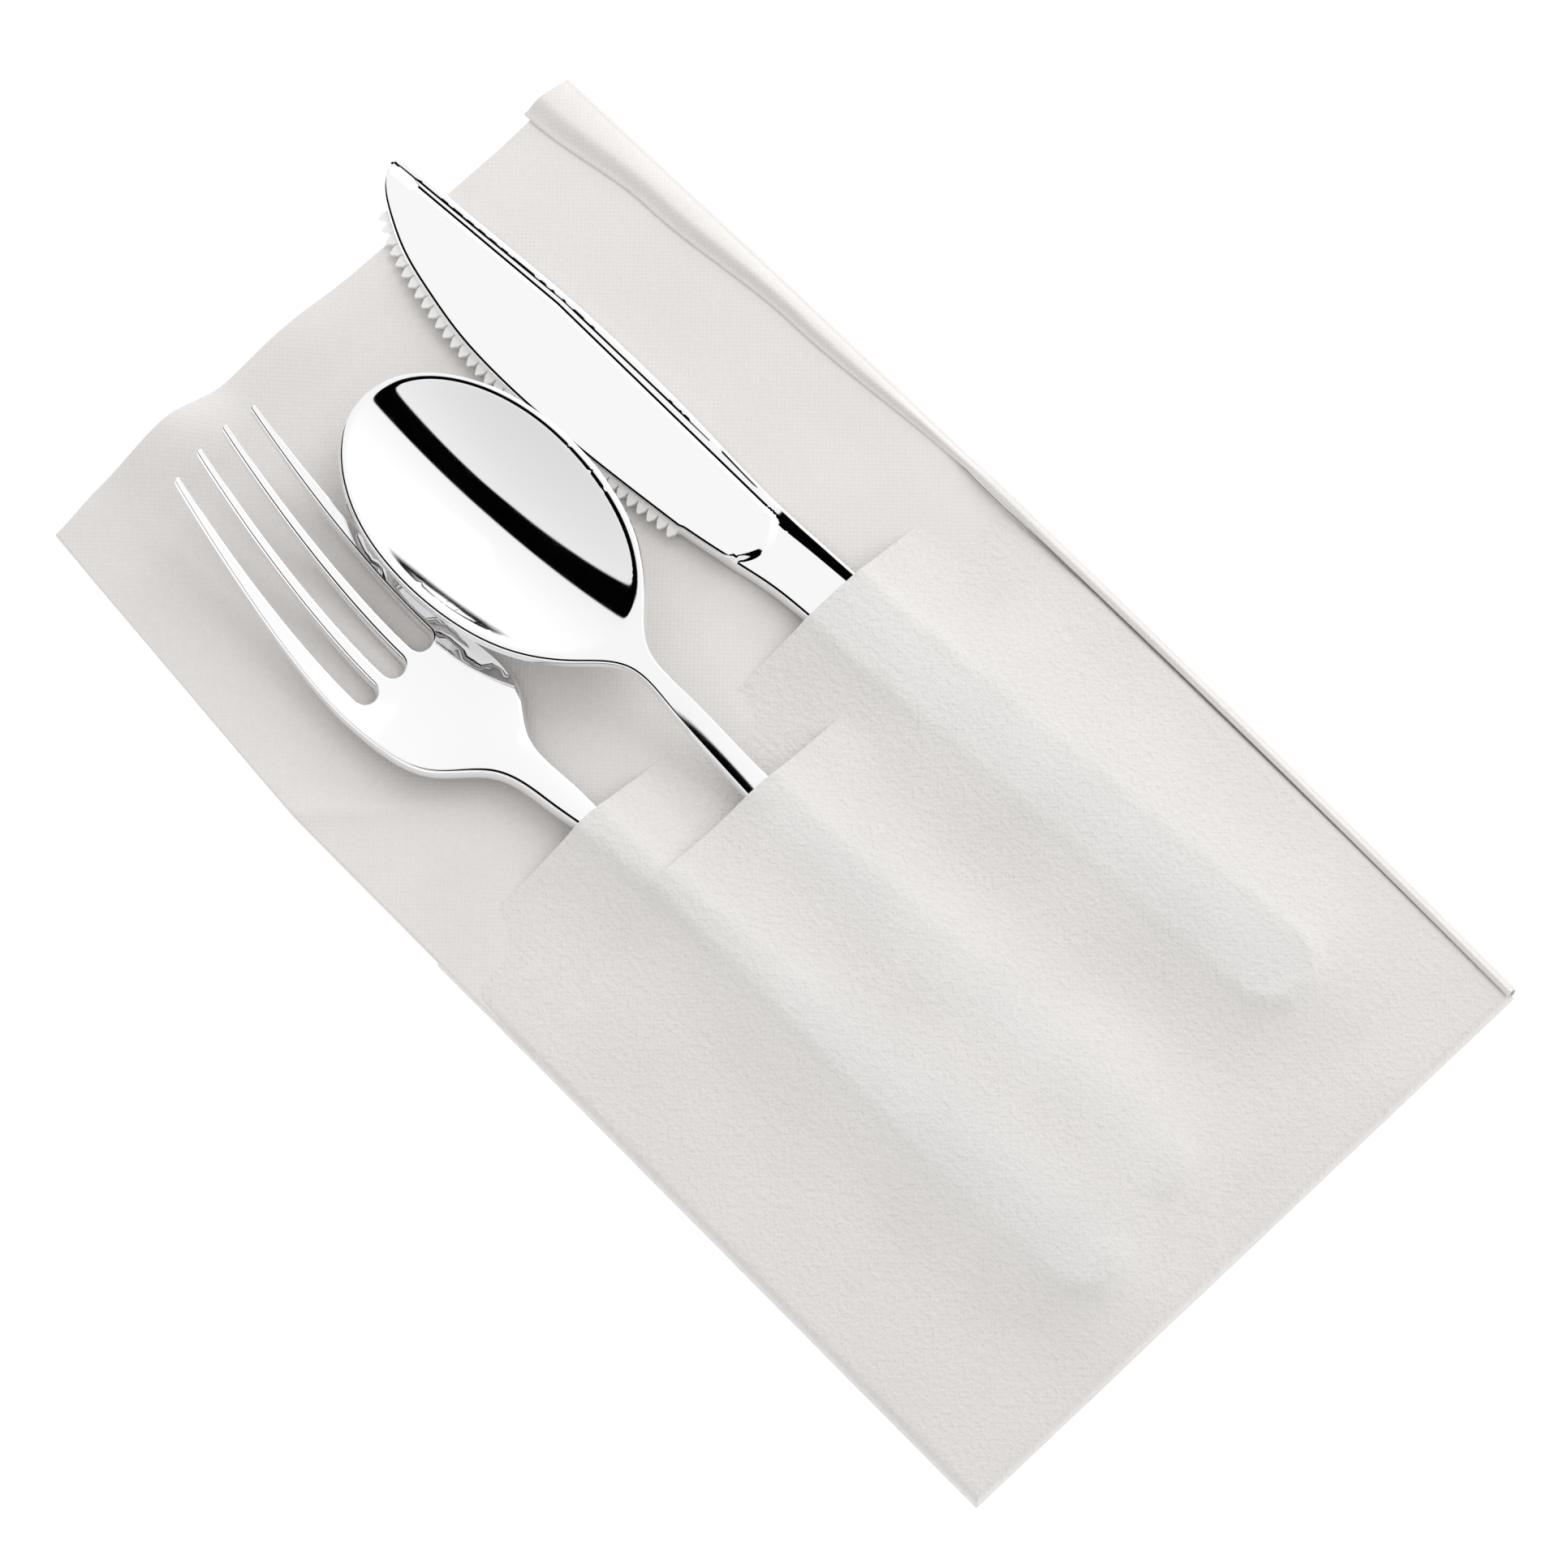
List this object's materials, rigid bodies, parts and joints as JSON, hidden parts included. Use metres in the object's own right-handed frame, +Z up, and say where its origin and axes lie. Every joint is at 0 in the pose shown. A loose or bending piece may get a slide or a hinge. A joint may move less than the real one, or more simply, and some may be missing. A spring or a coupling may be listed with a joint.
{
  "type": "pocket napkin with cutlery set",
  "caption": "Folded pocket napkin in soft linen-feel paper holding a silver-look fork, spoon and knife that slide out of its pockets; the rear leaf unfolds.",
  "frame": {"origin": "centre of the folded napkin's underside, where it rests on the table", "axes": "+Y from the closed bottom edge towards the heads of the cutlery, +Z up from the table, +X towards the knife's side and the fold line"},
  "size_m": [0.1134, 0.2181, 0.0133],
  "materials": {
    "napkin_paper": "matte",
    "silver_cutlery": "polished"
  },
  "bodies": {
    "napkin_front": {"front_leaf": "napkin_paper", "right_turnover": "napkin_paper", "bottom_fold": "napkin_paper", "left_fold": "napkin_paper", "pocket_inner_ply": "napkin_paper", "pocket_outer_ply": "napkin_paper"},
    "napkin_rear": {"rear_leaf": "napkin_paper"},
    "fork": {"fork": "silver_cutlery"},
    "spoon": {"spoon": "silver_cutlery"},
    "knife": {"knife": "silver_cutlery"}
  },
  "joints": [
    {"name": "unfold_rear_leaf", "type": "hinge", "parent": "napkin_front", "child": "napkin_rear", "pos_m": [0.0564, 0, 0.0017], "axis": [0, -1, 0], "range_deg": [0, 180]},
    {"name": "draw_fork", "type": "slide", "parent": "napkin_front", "child": "fork", "axis": [-0.0663, 0.9978, 0], "range_m": [0, 0.112]},
    {"name": "draw_spoon", "type": "slide", "parent": "napkin_front", "child": "spoon", "axis": [0.0523, 0.9986, 0], "range_m": [0, 0.094]},
    {"name": "draw_knife", "type": "slide", "parent": "napkin_front", "child": "knife", "axis": [-0.0732, 0.9973, 0], "range_m": [0, 0.1]}
  ]
}
